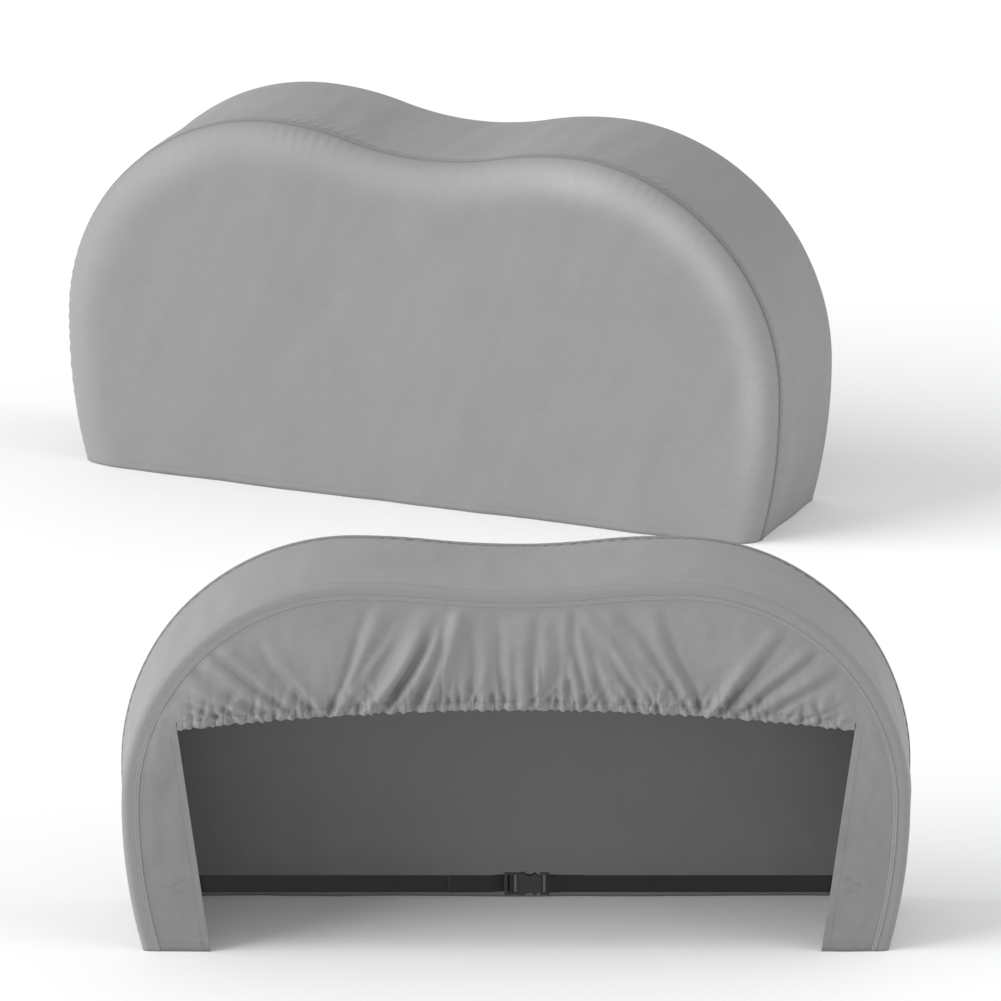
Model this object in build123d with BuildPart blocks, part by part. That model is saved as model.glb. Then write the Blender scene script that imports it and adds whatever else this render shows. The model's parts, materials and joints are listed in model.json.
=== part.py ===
"""A pair of fabric covers for the wheels of a tandem-axle caravan or trailer.

Each cover is sewn from a front panel, a band that arches over both tyres and a rear panel
with a wide opening. The opening's top edge is gathered on elastic, and a webbing strap with
a side-release buckle closes its foot behind the wheels. Left and right are as seen from
behind a cover, where it is fastened. The two covers stand on the floor, cover 1 with its
rear towards -Y and cover 2 behind it, turned so that its front panel faces -Y at an angle.

Frame: +Z up, the floor at Z 0, the origin in the middle of the set's footprint. Millimetres.
"""

import os
from dataclasses import dataclass
from math import asin, atan2, cos, degrees, radians, sin, sqrt

from build123d import *

os.makedirs("parts", exist_ok=True)

# --- One cover ---
COVER_WIDTH = 1680.0  # at the widest, level with the hubs
TUCK = 45.0  # how far each side comes in from its widest point to the bottom hem
COVER_HEIGHT = 825.0  # floor to the crest over each tyre
HUB_HEIGHT = 330.0  # floor to the widest point
BAND_DEPTH = 320.0  # rear edge to the front seam
FACE_ROLL = 50.0  # radius that the front panel rolls over, from seam to face
SEAM_LIP = 4.0  # straight edge of the front panel, next to its seam
RIM_ROLL = 14.0  # radius that the band turns over the tyres' rear edge
RIM_WIDTH = 32.0  # the part of the rear face that the band makes, outside the rear seam
CLOTH = 2.0  # coated polyester with its lining

# --- Seams and hems ---
WELT_WIDTH = 10.0  # felled seam, laid on the cloth
WELT_PROUD = 1.2
HEM_HEIGHT = 22.0
HEM_CLOTH = 1.5
FACING_WIDTH = 20.0  # turned edge down each side of the opening

# --- Rear opening ---
FLAP_FOOT = 144.0  # width of the flap on each side, along the bottom hem
FLAP_TOP = 119.0  # widest point of the cover to the opening's top corner
HOOD_EDGE_END = 495.0  # height of the gathered edge at the opening's corners
HOOD_EDGE_MIDDLE = 541.0
CASING_HEIGHT = 24.0  # channel for the elastic, along the gathered edge
CASING_THICKNESS = 7.0
CASING_PROUD = 2.5  # how far the channel stands out behind the rear panel
CASING_WALL = 2.0
ELASTIC_CLEARANCE = 0.2

# --- Strap ---
STRAP_WIDTH = 38.0
STRAP_THICKNESS = 1.8
STRAP_HEIGHT = 150.0  # floor to the strap's middle
STRAP_OVERLAP = 78.0  # length of strap sewn inside each flap
STRAP_TAIL = 90.0  # free end beyond the adjuster
STRAP_DOUBLED = 45.0  # sewn-back end of the fixed strap
PATCH_SIZE = 60.0
WRAP_CLEARANCE = 0.4  # strap to the bars that it goes round
LAYER_GAP = 0.2  # strap to strap where two layers lie together

# --- Side-release buckle ---
BUCKLE_X = 7.0  # the socket's mouth, right of the cover's middle
SLOT_CLEARANCE = 1.0  # edge of the strap to the end of the slots that it passes through
SIDE_RAIL = 4.5  # plastic beyond each end of those slots
SOCKET_THICKNESS = 12.0
SOCKET_BODY = 44.0  # length of the hollow body
SOCKET_NECK = 30.0  # height where the body meets the web frame
CAVITY_LENGTH = 36.0
SIDE_WALL = 6.0  # socket's edge wall, that the latches hook behind
CAVITY_THICKNESS = 7.0
WINDOW_START = 12.5  # mouth to the edge that each latch hooks behind
WINDOW_END = 31.0
FRAME_THICKNESS = 6.0  # of the ladder and of the socket's web frame
BAR = 7.0
MIDDLE_BAR = 5.0
SLOT = 7.0
BASE_BAR = 6.0
MOUTH_GAP = 0.3  # plug shoulder to socket mouth
TONGUE_LENGTH = 30.0
TONGUE_HEIGHT = 8.0
ARM_ROOT_X = 3.0  # latch arm's pivot, past the mouth
ARM_ROOT_IN = 5.5  # and in from the cavity's side
ARM_ROOT_RADIUS = 3.0
ARM_CLEARANCE = 0.2
HOOK_GAP = 0.8  # latch shoulder to window edge
HOOK_CATCH = 1.9  # how far each latch stands out past the cavity's side
ARM_LENGTH = 28.0

# --- The pair, standing as a set ---
SPACING = 3420.0  # between the two rear panels' middles, front to back
SIDE_STEP = 81.0  # cover 2 stands this much further left
TURN_2 = 158.0  # cover 2's turn about Z
SAG_1 = 18.0  # dip between the crests, where no tyre holds the band up
SAG_2 = 45.0

# --- Worked out from the sizes above ---
HALF_WIDTH = COVER_WIDTH / 2
FOOT_WIDTH = COVER_WIDTH - 2 * TUCK
OPENING_FOOT = FOOT_WIDTH - 2 * FLAP_FOOT
OPENING_TOP = COVER_WIDTH - 2 * FLAP_TOP
SIDE_RADIUS = (HUB_HEIGHT**2 + TUCK**2) / (2 * TUCK)
SHOULDER_RADIUS = COVER_HEIGHT - HUB_HEIGHT
CREST_X = HALF_WIDTH - SHOULDER_RADIUS
FACE_DEPTH = FACE_ROLL + SEAM_LIP
HOOD_RISE = HOOD_EDGE_MIDDLE - HOOD_EDGE_END
HOOD_RADIUS = ((OPENING_TOP / 2) ** 2 + HOOD_RISE**2) / (2 * HOOD_RISE)
STRAP_DEPTH = 2 * CLOTH + STRAP_THICKNESS / 2
LADDER_LENGTH = BAR + SLOT + MIDDLE_BAR + SLOT + BASE_BAR
SOCKET_LENGTH = SOCKET_BODY + BAR + SLOT + BAR
SLOT_HEIGHT = STRAP_WIDTH + 2 * SLOT_CLEARANCE
BUCKLE_HEIGHT = SLOT_HEIGHT + 2 * SIDE_RAIL
CAVITY_HEIGHT = BUCKLE_HEIGHT - 2 * SIDE_WALL
ARM_ROOT = (ARM_ROOT_X, CAVITY_HEIGHT / 2 - ARM_ROOT_IN)
HOOK_REACH = CAVITY_HEIGHT / 2 + HOOK_CATCH
WRAP = FRAME_THICKNESS / 2 + WRAP_CLEARANCE + STRAP_THICKNESS / 2
LAYER = STRAP_THICKNESS + LAYER_GAP


@dataclass
class Cover:
    """One cover of the pair: its name, the floor point under its rear panel, turn and sag."""

    name: str
    x: float
    y: float
    turn: float
    sag: float

    @property
    def rear(self):
        """The rear panel's outer face, seen from behind: x right, y up, z out of the cover."""
        turn = radians(self.turn)
        return Plane((self.x, self.y, 0), x_dir=(cos(turn), sin(turn), 0), z_dir=(sin(turn), -cos(turn), 0))

    def at_depth(self, depth):
        """A plane parallel to the rear panel, that far inside the cover."""
        return self.rear.offset(-depth)

    def buckle(self, depth=STRAP_DEPTH):
        """The buckle's plane: its origin in the middle of the socket's mouth."""
        rear = self.at_depth(depth)
        origin = rear.from_local_coords(Vector(BUCKLE_X, STRAP_HEIGHT, 0))
        return Plane(origin, x_dir=rear.x_dir, z_dir=rear.z_dir)

    def strap_edge(self):
        """A level plane along the strap's lower edge: x right, y into the cover."""
        origin = self.rear.from_local_coords(Vector(0, STRAP_HEIGHT - STRAP_WIDTH / 2, 0))
        return Plane(origin, x_dir=self.rear.x_dir, z_dir=(0, 0, 1))

    def front_axis(self):
        return Axis(self.rear.origin, -self.rear.z_dir)


def reach(turn, direction):
    """How far a cover at that turn extends from its origin, along a level direction in degrees."""
    along = cos(radians(direction - turn))  # how much of the direction is the cover's own x
    inward = sin(radians(direction - turn))  # and how much is its depth
    seam_depth = BAND_DEPTH if inward > 0 else BAND_DEPTH - WELT_WIDTH
    front_seam = abs(along) * (HALF_WIDTH + WELT_PROUD) + inward * seam_depth
    face = abs(along) * (HALF_WIDTH - FACE_ROLL) + inward * (BAND_DEPTH + SEAM_LIP) + FACE_ROLL
    rim = abs(along) * (HALF_WIDTH - RIM_ROLL) + inward * RIM_ROLL + RIM_ROLL
    rear_seam = abs(along) * (HALF_WIDTH - RIM_WIDTH + WELT_WIDTH / 2) - inward * WELT_PROUD
    hood = abs(along) * OPENING_TOP / 2 - inward * CASING_PROUD
    return max(front_seam, face, rim, rear_seam, hood)


# The set's footprint, with cover 1 at the origin, gives where the two covers stand.
right = max(reach(0, 0), reach(TURN_2, 0) - SIDE_STEP)
left = max(reach(0, 180), reach(TURN_2, 180) + SIDE_STEP)
back = max(reach(0, 90), reach(TURN_2, 90) + SPACING)
front = max(reach(0, -90), reach(TURN_2, -90) - SPACING)
X_1 = (left - right) / 2
Y_1 = (front - back) / 2
COVERS = [
    Cover("cover_1", X_1, Y_1, 0.0, SAG_1),
    Cover("cover_2", X_1 - SIDE_STEP, Y_1 + SPACING, TURN_2, SAG_2),
]


def outline(sag, inset=0.0, mode=Mode.ADD):
    """The cover's outline down to the floor, for an open sketch: tangent arcs over two tyres."""
    side = SIDE_RADIUS - inset
    lean = degrees(asin(HUB_HEIGHT / side))
    foot = HALF_WIDTH - SIDE_RADIUS + side * cos(radians(lean))
    wave = ((CREST_X / 2) ** 2 + (sag / 2) ** 2) / sag
    swing = degrees(asin(CREST_X / 2 / wave))
    with BuildLine() as edge:
        CenterArc((HALF_WIDTH - SIDE_RADIUS, HUB_HEIGHT), side, -lean, lean)
        CenterArc((CREST_X, HUB_HEIGHT), SHOULDER_RADIUS - inset, 0, 90)
        CenterArc((CREST_X, COVER_HEIGHT - wave), wave - inset, 90, swing)
        mirror(about=Plane.YZ)
        CenterArc((0, COVER_HEIGHT - sag + wave), wave + inset, 270 - swing, 2 * swing)
        Line((-foot, 0), (foot, 0))
    make_face(edge.edges(), mode=mode)


def edge_x(height):
    """Half the opening's width at that height."""
    return (OPENING_FOOT + (OPENING_TOP - OPENING_FOOT) * height / HOOD_EDGE_END) / 2


def opening(widen=0.0, mode=Mode.ADD):
    """The rear opening below the gathered edge, for an open sketch."""
    foot = OPENING_FOOT / 2 + widen
    top = OPENING_TOP / 2 + widen
    with BuildLine() as edge:
        Line((-foot, 0), (foot, 0))
        Line((foot, 0), (top, HOOD_EDGE_END))
        ThreePointArc((top, HOOD_EDGE_END), (0, HOOD_EDGE_MIDDLE), (-top, HOOD_EDGE_END))
        Line((-top, HOOD_EDGE_END), (-foot, 0))
    make_face(edge.edges(), mode=mode)


def casing_strip(shrink=0.0, mode=Mode.ADD):
    """The strip that the elastic's channel fills, for an open sketch, taken in by shrink all round."""
    radius = HOOD_RADIUS + CASING_HEIGHT / 2
    half_angle = degrees(asin(OPENING_TOP / 2 / HOOD_RADIUS) - shrink / radius)
    with BuildLine() as middle:
        CenterArc((0, HOOD_EDGE_MIDDLE - HOOD_RADIUS), radius, 90 - half_angle, 2 * half_angle)
    trace(middle.edges(), line_width=CASING_HEIGHT - 2 * shrink, mode=mode)


def save(piece, cover, name):
    """Labels a finished piece with its cover's name and writes it."""
    piece.label = f"{cover.name}_{name}"
    export_step(piece, f"parts/{piece.label}.step")


# --- Fabric shell ---


def face_block(cover, inset):
    """The front panel's outside, or its inside at that inset: its far edges rolled over."""
    with BuildPart() as block:
        with BuildSketch(cover.at_depth(BAND_DEPTH)):
            outline(cover.sag, inset)
        extrude(amount=-(FACE_DEPTH - inset))
        face = block.faces().sort_by(cover.front_axis())[-1]
        fillet(face.edges().sort_by(Axis.Z)[1:], FACE_ROLL - inset)
    return block.part


def band_block(cover, inset):
    """The band's outside, or a layer inside it at that inset: its rear edges rolled over."""
    with BuildPart() as block:
        with BuildSketch(cover.at_depth(inset)):
            outline(cover.sag, inset)
        extrude(amount=-(BAND_DEPTH - inset))
        face = block.faces().sort_by(cover.front_axis())[0]
        fillet(face.edges().sort_by(Axis.Z)[1:], RIM_ROLL - inset)
    return block.part


def front_panel(cover):
    cavity = face_block(cover, CLOTH)
    with BuildPart() as panel:
        add(face_block(cover, 0))
        add(cavity, mode=Mode.SUBTRACT)
    return panel.part


def band(cover):
    """The long strip over both tyres, from the front seam round the rear rim to the rear seam."""
    cavity = band_block(cover, CLOTH)
    with BuildPart() as strip:
        add(band_block(cover, 0))
        add(cavity, mode=Mode.SUBTRACT)
        with BuildSketch(cover.at_depth(0)):
            outline(cover.sag, RIM_WIDTH)
        extrude(amount=-CLOTH, mode=Mode.SUBTRACT)
    return strip.part


def rear_panel(cover):
    """The hood over the opening and the flap down each side of it, cut in one piece."""
    with BuildPart() as panel:
        with BuildSketch(cover.at_depth(0)):
            outline(cover.sag, RIM_WIDTH)
            opening(mode=Mode.SUBTRACT)
            casing_strip(mode=Mode.SUBTRACT)
        extrude(amount=-CLOTH)
    return panel.part


def front_seam(cover):
    """The felled seam beside the front panel, laid on the band."""
    with BuildPart() as welt:
        with BuildSketch(cover.at_depth(BAND_DEPTH - WELT_WIDTH)):
            outline(cover.sag, -WELT_PROUD)
            outline(cover.sag, mode=Mode.SUBTRACT)
        extrude(amount=-WELT_WIDTH)
    return welt.part


def rear_seam(cover):
    """The felled seam on the rear face, over the line where the band meets the rear panel."""
    with BuildPart() as welt:
        with BuildSketch(cover.at_depth(0)):
            outline(cover.sag, RIM_WIDTH - WELT_WIDTH / 2)
            outline(cover.sag, RIM_WIDTH + WELT_WIDTH / 2, mode=Mode.SUBTRACT)
        extrude(amount=WELT_PROUD)
    return welt.part


def hood_casing(cover):
    with BuildPart() as casing:
        with BuildSketch(cover.at_depth(-CASING_PROUD)):
            casing_strip()
        extrude(amount=-CASING_THICKNESS)
        with BuildSketch(cover.at_depth(CASING_WALL - CASING_PROUD)):
            casing_strip(CASING_WALL)
        extrude(amount=2 * CASING_WALL - CASING_THICKNESS, mode=Mode.SUBTRACT)
    return casing.part


def hood_elastic(cover):
    inset = CASING_WALL + ELASTIC_CLEARANCE
    with BuildPart() as elastic:
        with BuildSketch(cover.at_depth(inset - CASING_PROUD)):
            casing_strip(inset)
        extrude(amount=2 * inset - CASING_THICKNESS)
    return elastic.part


def flap_facing(cover, side):
    """The turned edge down one side of the opening, inside the flap. side is -1 left, 1 right."""
    with BuildPart() as facing:
        with BuildSketch(cover.at_depth(CLOTH)):
            with BuildLine():
                Polyline(
                    (side * OPENING_FOOT / 2, 0),
                    (side * (OPENING_FOOT / 2 + FACING_WIDTH), 0),
                    (side * (OPENING_TOP / 2 + FACING_WIDTH), HOOD_EDGE_END),
                    (side * OPENING_TOP / 2, HOOD_EDGE_END),
                    close=True,
                )
            make_face()
        extrude(amount=-CLOTH)
    return facing.part


def front_hem(cover):
    """The front panel's bottom hem, turned up inside between the two rolled edges."""
    half = FOOT_WIDTH / 2 - FACE_ROLL - TUCK / 2
    with BuildPart() as hem:
        with BuildSketch(cover.at_depth(BAND_DEPTH + FACE_DEPTH - CLOTH - HEM_CLOTH)):
            with Locations((0, HEM_HEIGHT / 2)):
                Rectangle(2 * half, HEM_HEIGHT)
        extrude(amount=-HEM_CLOTH)
    return hem.part


def side_hem(cover, side):
    """The bottom hem of one flap and of the band beside it, turned up inside."""
    cavity = band_block(cover, CLOTH + HEM_CLOTH)
    with BuildPart() as hem:
        add(band_block(cover, CLOTH))
        add(cavity, mode=Mode.SUBTRACT)
        with BuildSketch(cover.at_depth(0)):
            opening(FACING_WIDTH)
        extrude(amount=-BAND_DEPTH, mode=Mode.SUBTRACT)
        with BuildSketch(cover.at_depth(0)):
            with Locations((side * HALF_WIDTH / 2, HEM_HEIGHT / 2)):
                Rectangle(HALF_WIDTH, HEM_HEIGHT)
        extrude(amount=-BAND_DEPTH, mode=Mode.INTERSECT)
    return hem.part


# --- Strap ---


def strap_patch(cover, side):
    """The square of cloth that one end of the strap is sewn to, inside a flap."""
    inner = edge_x(STRAP_HEIGHT + PATCH_SIZE / 2) + FACING_WIDTH + WELT_PROUD
    with BuildPart() as patch:
        with BuildSketch(cover.at_depth(CLOTH)):
            with Locations((side * (inner + PATCH_SIZE / 2), STRAP_HEIGHT)):
                Rectangle(PATCH_SIZE, PATCH_SIZE)
        extrude(amount=-CLOTH)
    return patch.part


def webbing(cover, path, corner_radii):
    """Strap webbing along a path of (x, depth) points, its bends rounded to the radii given."""
    with BuildPart() as strap:
        with BuildSketch(cover.strap_edge()):
            with BuildLine():
                FilletPolyline(*path, radius=corner_radii)
            trace(line_width=STRAP_THICKNESS)
        extrude(amount=STRAP_WIDTH)
    return strap.part


TIGHT_BEND = STRAP_THICKNESS * 0.8
EASY_BEND = 20.0
RAMP = 30.0  # length over which the webbing eases from the strap's line to a bar


def adjusting_strap(cover):
    """From the left flap to the ladder, up behind its middle bar, over it, and back as the tail."""
    ladder_end = BUCKLE_X - LADDER_LENGTH
    bar_left = ladder_end + BAR + SLOT
    rise = bar_left + MIDDLE_BAR + WRAP_CLEARANCE + STRAP_THICKNESS / 2
    fall = bar_left - WRAP_CLEARANCE - STRAP_THICKNESS / 2
    start = -edge_x(STRAP_HEIGHT) - STRAP_OVERLAP
    path = [
        (start, STRAP_DEPTH),
        (ladder_end - RAMP, STRAP_DEPTH),
        (ladder_end - LAYER, STRAP_DEPTH + WRAP + LAYER),
        (rise, STRAP_DEPTH + WRAP + LAYER),
        (rise, STRAP_DEPTH - WRAP),
        (fall, STRAP_DEPTH - WRAP),
        (fall, STRAP_DEPTH + WRAP),
        (ladder_end - LAYER, STRAP_DEPTH + WRAP),
        (ladder_end - RAMP, STRAP_DEPTH - LAYER),
        (ladder_end - RAMP - STRAP_TAIL, STRAP_DEPTH - LAYER),
    ]
    tight = [TIGHT_BEND] * 4
    return webbing(cover, path, [EASY_BEND, EASY_BEND, *tight, EASY_BEND, EASY_BEND])


def fixed_strap(cover):
    """From the right flap round the socket's end bar, and sewn back on itself."""
    bar_end = BUCKLE_X + SOCKET_LENGTH
    inside = bar_end - BAR - WRAP_CLEARANCE - STRAP_THICKNESS / 2
    start = edge_x(STRAP_HEIGHT) + STRAP_OVERLAP
    path = [
        (start, STRAP_DEPTH),
        (bar_end + RAMP, STRAP_DEPTH),
        (bar_end + LAYER, STRAP_DEPTH - WRAP),
        (inside, STRAP_DEPTH - WRAP),
        (inside, STRAP_DEPTH + WRAP),
        (bar_end + LAYER, STRAP_DEPTH + WRAP),
        (bar_end + RAMP, STRAP_DEPTH + LAYER),
        (bar_end + RAMP + STRAP_DOUBLED, STRAP_DEPTH + LAYER),
    ]
    return webbing(cover, path, [EASY_BEND, EASY_BEND, TIGHT_BEND, TIGHT_BEND, EASY_BEND, EASY_BEND])


# --- Buckle ---

SOFT_EDGE = 1.2
CORNER = 3.0


def plate(cover, x_from, x_to, height, thickness, mode=Mode.ADD):
    """A rectangle of buckle, centred on the strap, for an open part."""
    with BuildSketch(cover.buckle()) as shape:
        with Locations(((x_from + x_to) / 2, 0)):
            Rectangle(x_to - x_from, height)
    extrude(shape.sketch, amount=thickness / 2, both=True, mode=mode)


def buckle_socket(cover):
    """The hollow half: mouth, two side windows for the latches, and a web frame."""
    half = BUCKLE_HEIGHT / 2
    body_end = SOCKET_BODY
    with BuildPart() as socket:
        with BuildSketch(cover.buckle()):
            with BuildLine():
                Polyline(
                    (MOUTH_GAP, -half),
                    (CAVITY_LENGTH - CORNER, -half),
                    (body_end + CORNER, -SOCKET_NECK / 2),
                    (body_end + CORNER, SOCKET_NECK / 2),
                    (CAVITY_LENGTH - CORNER, half),
                    (MOUTH_GAP, half),
                    close=True,
                )
            make_face()
        extrude(amount=SOCKET_THICKNESS / 2, both=True)
        broad = socket.faces().sort_by(cover.front_axis())
        fillet(broad[0].edges() + broad[-1].edges(), SOFT_EDGE)
        plate(cover, body_end, SOCKET_LENGTH, BUCKLE_HEIGHT, FRAME_THICKNESS)
        plate(cover, body_end + BAR, body_end + BAR + SLOT, SLOT_HEIGHT, SOCKET_THICKNESS, Mode.SUBTRACT)
        plate(cover, 0, CAVITY_LENGTH, CAVITY_HEIGHT, CAVITY_THICKNESS, Mode.SUBTRACT)
        plate(cover, WINDOW_START, WINDOW_END, BUCKLE_HEIGHT + CORNER, CAVITY_THICKNESS, Mode.SUBTRACT)
        # Thumb recesses: both broad walls stand back from the latches' outer faces.
        with BuildSketch(cover.buckle()):
            middle = (WINDOW_START + WINDOW_END) / 2
            with Locations((middle, half), (middle, -half)):
                Ellipse((WINDOW_END - WINDOW_START) / 2, half - CAVITY_HEIGHT / 2 - ARM_CLEARANCE)
        extrude(amount=SOCKET_THICKNESS, both=True, mode=Mode.SUBTRACT)
    return socket.part


def buckle_plug(cover):
    """The ladder that the strap adjusts on, with the tongue that guides it into the socket."""
    base = ARM_ROOT[0]
    with BuildPart() as plug:
        plate(cover, -LADDER_LENGTH, 0, BUCKLE_HEIGHT, FRAME_THICKNESS)
        fillet(plug.edges().filter_by(Axis(cover.rear.origin, cover.rear.z_dir)), CORNER)
        plate(cover, -LADDER_LENGTH + BAR, -LADDER_LENGTH + BAR + SLOT, SLOT_HEIGHT, BAR, Mode.SUBTRACT)
        plate(cover, -BASE_BAR - SLOT, -BASE_BAR, SLOT_HEIGHT, BAR, Mode.SUBTRACT)
        root_height = 2 * (ARM_ROOT[1] + ARM_ROOT_RADIUS + ARM_CLEARANCE)
        plate(cover, -CORNER, base, root_height, FRAME_THICKNESS)
        plate(cover, 0, TONGUE_LENGTH, TONGUE_HEIGHT, FRAME_THICKNESS)
        with BuildSketch(cover.buckle()):
            with Locations(ARM_ROOT, (ARM_ROOT[0], -ARM_ROOT[1])):
                Circle(ARM_ROOT_RADIUS + ARM_CLEARANCE)
        extrude(amount=FRAME_THICKNESS, both=True, mode=Mode.SUBTRACT)
    return plug.part


def latch_arm(cover, side):
    """A spring arm of the plug, hooked behind a window's edge. side is 1 above, -1 below."""
    root_x, root_y = ARM_ROOT
    neck = ARM_ROOT_RADIUS - SOFT_EDGE
    shoulder = WINDOW_START + HOOK_GAP
    mouth = CAVITY_HEIGHT / 2 - 2 * ARM_CLEARANCE
    with BuildPart() as arm:
        with BuildSketch(cover.buckle()):
            with Locations((root_x, side * root_y)):
                Circle(ARM_ROOT_RADIUS)
            with BuildLine():
                Polyline(
                    (root_x, side * (root_y - neck)),
                    (root_x, side * (root_y + neck)),
                    (shoulder - SLOT, side * (mouth - SOFT_EDGE)),
                    (shoulder, side * mouth),
                    (shoulder, side * HOOK_REACH),
                    (shoulder + SLOT, side * (HOOK_REACH + SOFT_EDGE)),
                    (ARM_LENGTH, side * (root_y + neck)),
                    (ARM_LENGTH, side * (root_y - neck)),
                    (shoulder, side * (root_y - SOFT_EDGE)),
                    close=True,
                )
            make_face()
        extrude(amount=FRAME_THICKNESS / 2, both=True)
    return arm.part


# --- Both covers, piece by piece ---

for cover in COVERS:
    save(front_panel(cover), cover, "front_panel")
    save(band(cover), cover, "band")
    save(rear_panel(cover), cover, "rear_panel")
    save(front_seam(cover), cover, "front_seam")
    save(rear_seam(cover), cover, "rear_seam")
    save(hood_casing(cover), cover, "hood_casing")
    save(hood_elastic(cover), cover, "hood_elastic")
    save(front_hem(cover), cover, "front_hem")
    for side, word in ((-1, "left"), (1, "right")):
        save(flap_facing(cover, side), cover, f"{word}_flap_facing")
        save(side_hem(cover, side), cover, f"{word}_hem")
        save(strap_patch(cover, side), cover, f"{word}_strap_patch")
    save(adjusting_strap(cover), cover, "adjusting_strap")
    save(fixed_strap(cover), cover, "fixed_strap")
    save(buckle_socket(cover), cover, "buckle_socket")
    save(buckle_plug(cover), cover, "buckle_plug")
    save(latch_arm(cover, 1), cover, "upper_latch_arm")
    save(latch_arm(cover, -1), cover, "lower_latch_arm")
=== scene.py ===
import json
import math

import bmesh
import bpy
import numpy as np
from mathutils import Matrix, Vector, noise
from mathutils.geometry import delaunay_2d_cdt


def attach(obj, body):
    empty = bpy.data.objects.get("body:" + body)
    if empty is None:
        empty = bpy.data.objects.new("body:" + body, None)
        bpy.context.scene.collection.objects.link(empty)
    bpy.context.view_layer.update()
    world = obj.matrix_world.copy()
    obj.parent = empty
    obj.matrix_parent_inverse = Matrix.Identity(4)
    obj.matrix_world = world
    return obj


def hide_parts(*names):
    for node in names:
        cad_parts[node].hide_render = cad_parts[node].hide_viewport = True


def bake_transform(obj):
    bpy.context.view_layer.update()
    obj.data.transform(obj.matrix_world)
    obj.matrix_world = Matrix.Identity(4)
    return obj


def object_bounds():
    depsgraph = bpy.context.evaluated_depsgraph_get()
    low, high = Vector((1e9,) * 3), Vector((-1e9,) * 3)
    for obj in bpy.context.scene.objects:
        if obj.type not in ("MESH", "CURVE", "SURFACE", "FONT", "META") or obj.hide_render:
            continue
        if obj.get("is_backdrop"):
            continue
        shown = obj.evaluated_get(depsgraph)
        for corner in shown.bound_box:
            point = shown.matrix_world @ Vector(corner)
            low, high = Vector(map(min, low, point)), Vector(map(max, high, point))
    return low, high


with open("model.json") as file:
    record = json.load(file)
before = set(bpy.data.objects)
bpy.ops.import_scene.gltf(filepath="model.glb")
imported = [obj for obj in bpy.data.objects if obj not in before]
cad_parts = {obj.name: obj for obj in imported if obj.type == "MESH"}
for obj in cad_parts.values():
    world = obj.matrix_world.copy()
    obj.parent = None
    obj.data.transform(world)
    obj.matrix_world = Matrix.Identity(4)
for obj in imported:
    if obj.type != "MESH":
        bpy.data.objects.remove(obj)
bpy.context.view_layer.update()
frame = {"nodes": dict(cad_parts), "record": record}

# --- Where the two covers stand ---
# One pattern, sewn twice. Cover 1 stands with its open back to the viewer, and cover 2 behind
# it with its front to the viewer. On a cover, x is to the right as seen from behind it, depth
# runs in from the rear panel, and z is up.
HALF_WIDTH = 0.840
TUCK = 0.045
HEIGHT = 0.825
HUB_HEIGHT = 0.330
UP = np.array((0.0, 0.0, 1.0))
mounts = {mount["name"]: mount for mount in frame["record"]["mounts"]}


class Cover:
    """One cover. sag is the dip between its crests, seed sets its folds, and pucker_and_shade is how
    hard its front seam's thread puckers the cloth, and how dark its painted seam shade is, from 0 to 1."""

    def __init__(self, name, sag, seed, pucker_and_shade):
        bay = mounts[f"{name}_wheel_bay"]
        self.name, self.sag, self.seed, self.pucker_and_shade = name, sag, seed, pucker_and_shade
        self.out = np.array(bay["axis"], float)
        self.foot = np.array(bay["pos_m"], float) * (1, 1, 0)
        self.right = np.cross(UP, self.out)

    def place(self, x, depth, z):
        """Points in the room, from places on the cover."""
        return self.foot + self.way(x, depth, z)

    def way(self, x, depth, z):
        """Directions in the room, from directions on the cover."""
        x, depth, z = (a[..., None] for a in np.broadcast_arrays(x, depth, z))
        return x * self.right - depth * self.out + z * UP


COVERS = [Cover("cover_1", 0.018, 11, 0.4), Cover("cover_2", 0.045, 5, 1.0)]


def outline(sag, around, inset=0.0):
    """x, z and the outward direction's x, z at a place on a cover's edge, which runs from
    0 at the left foot over both tyres to 1 at the right foot. inset is how far inside it."""
    around, inset = np.broadcast_arrays(np.asarray(around, float), inset)
    side = (HUB_HEIGHT**2 + TUCK**2) / (2 * TUCK)
    shoulder = HEIGHT - HUB_HEIGHT
    crest = HALF_WIDTH - shoulder
    wave = ((crest / 2) ** 2 + (sag / 2) ** 2) / sag
    swing = math.asin(crest / 2 / wave)
    lean = np.arcsin(HUB_HEIGHT / (side - inset))
    arcs = [
        (HALF_WIDTH - side, HUB_HEIGHT, side, -lean, 0.0, 1, side * math.asin(HUB_HEIGHT / side)),
        (crest, HUB_HEIGHT, shoulder, 0.0, math.pi / 2, 1, shoulder * math.pi / 2),
        (crest, HEIGHT - wave, wave, math.pi / 2, math.pi / 2 + swing, 1, wave * swing),
        (0.0, HEIGHT - sag + wave, wave, 1.5 * math.pi + swing, 1.5 * math.pi, -1, wave * swing),
    ]
    travel = (1 - np.abs(2 * around - 1)) * sum(arc[-1] for arc in arcs)
    x, z, out_x, out_z = (np.zeros(around.shape) for _ in range(4))
    start = 0.0
    for number, (centre_x, centre_z, radius, first, last, sign, length) in enumerate(arcs):
        share = (travel - start) / length
        here = (share >= 0) if number == 3 else (share >= 0) & (share < 1)
        angle = first + (last - first) * share
        reach = radius - sign * inset
        x = np.where(here, centre_x + reach * np.cos(angle), x)
        z = np.where(here, centre_z + reach * np.sin(angle), z)
        out_x = np.where(here, sign * np.cos(angle), out_x)
        out_z = np.where(here, sign * np.sin(angle), out_z)
        start += length
    left = np.where(around < 0.5, -1.0, 1.0)
    return x * left, z, out_x * left, out_z


def edge_length(sag):
    x, z, _, _ = outline(sag, np.linspace(0, 1, 2001))
    return float(np.hypot(np.diff(x), np.diff(z)).sum())


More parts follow.
